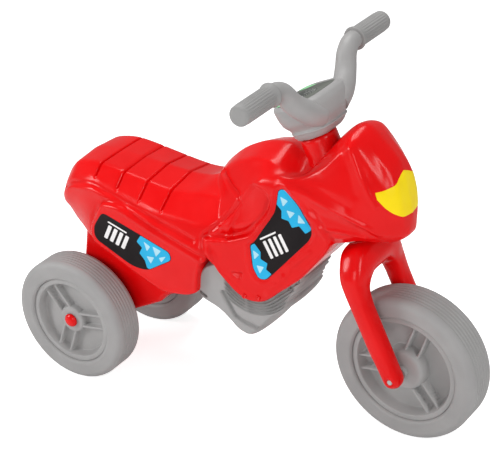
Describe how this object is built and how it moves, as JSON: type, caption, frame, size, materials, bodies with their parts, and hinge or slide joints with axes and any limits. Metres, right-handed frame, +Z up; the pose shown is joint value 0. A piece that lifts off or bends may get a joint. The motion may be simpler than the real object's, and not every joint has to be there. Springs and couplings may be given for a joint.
{
  "type": "ride-on toy motorcycle",
  "caption": "Child's foot-pushed ride-on motorcycle with a moulded body, grooved seat, raked steering fork and free-rolling wheels.",
  "frame": {"origin": "on the ground, under the middle of the overall length and on the plane of symmetry", "axes": "+X forward, +Y to the rider's left, +Z up"},
  "size_m": [0.691, 0.343, 0.5212],
  "materials": {
    "moulded_red": "satin gloss",
    "moulded_grey": "fine satin",
    "tyre_grey": "matt",
    "grip_grey": "matt",
    "bright_steel": "bright",
    "bush_white": "smooth",
    "decal_black": "gloss film",
    "lamp_yellow": "gloss film",
    "dash_dark": "gloss film"
  },
  "bodies": {
    "body": {"body_shell": "moulded_red", "engine_block": "moulded_grey", "belly_plug_right_rear": "moulded_red", "belly_plug_right_front": "moulded_red", "belly_plug_left_rear": "moulded_red", "belly_plug_left_front": "moulded_red", "side_decal_rear_right": "decal_black", "side_decal_rear_left": "decal_black", "side_decal_front_right": "decal_black", "side_decal_front_left": "decal_black", "headlight_decal": "lamp_yellow", "lower_steering_bush": "bush_white", "upper_steering_bush": "bush_white", "rear_axle": "bright_steel", "rear_spacer_right": "moulded_grey", "rear_spacer_left": "moulded_grey", "rear_cap_right": "moulded_red", "rear_cap_left": "moulded_red"},
    "steering": {"fork": "moulded_red", "handlebar": "moulded_grey", "dash_decal": "dash_dark", "grip_right": "grip_grey", "grip_left": "grip_grey", "stem_screw": "bright_steel", "front_axle": "bright_steel", "front_spacer_right": "moulded_grey", "front_spacer_left": "moulded_grey"},
    "front_wheel": {"front_rim": "moulded_grey", "front_tyre": "tyre_grey"},
    "rear_wheel_right": {"rear_rim_right": "moulded_grey", "rear_tyre_right": "tyre_grey"},
    "rear_wheel_left": {"rear_rim_left": "moulded_grey", "rear_tyre_left": "tyre_grey"}
  },
  "joints": [
    {"name": "steering_turn", "type": "hinge", "parent": "body", "child": "steering", "pos_m": [0.2405, 0, 0.105], "axis": [-0.3835, 0, 0.9235], "range_deg": [-30, 30]},
    {"name": "front_wheel_spin", "type": "hinge", "parent": "steering", "child": "front_wheel", "pos_m": [0.2405, 0, 0.105], "axis": [0, 1, 0], "continuous": true},
    {"name": "rear_wheel_right_spin", "type": "hinge", "parent": "body", "child": "rear_wheel_right", "pos_m": [-0.253, -0.0898, 0.0925], "axis": [0, 1, 0], "continuous": true},
    {"name": "rear_wheel_left_spin", "type": "hinge", "parent": "body", "child": "rear_wheel_left", "pos_m": [-0.253, 0.0898, 0.0925], "axis": [0, 1, 0], "continuous": true}
  ]
}
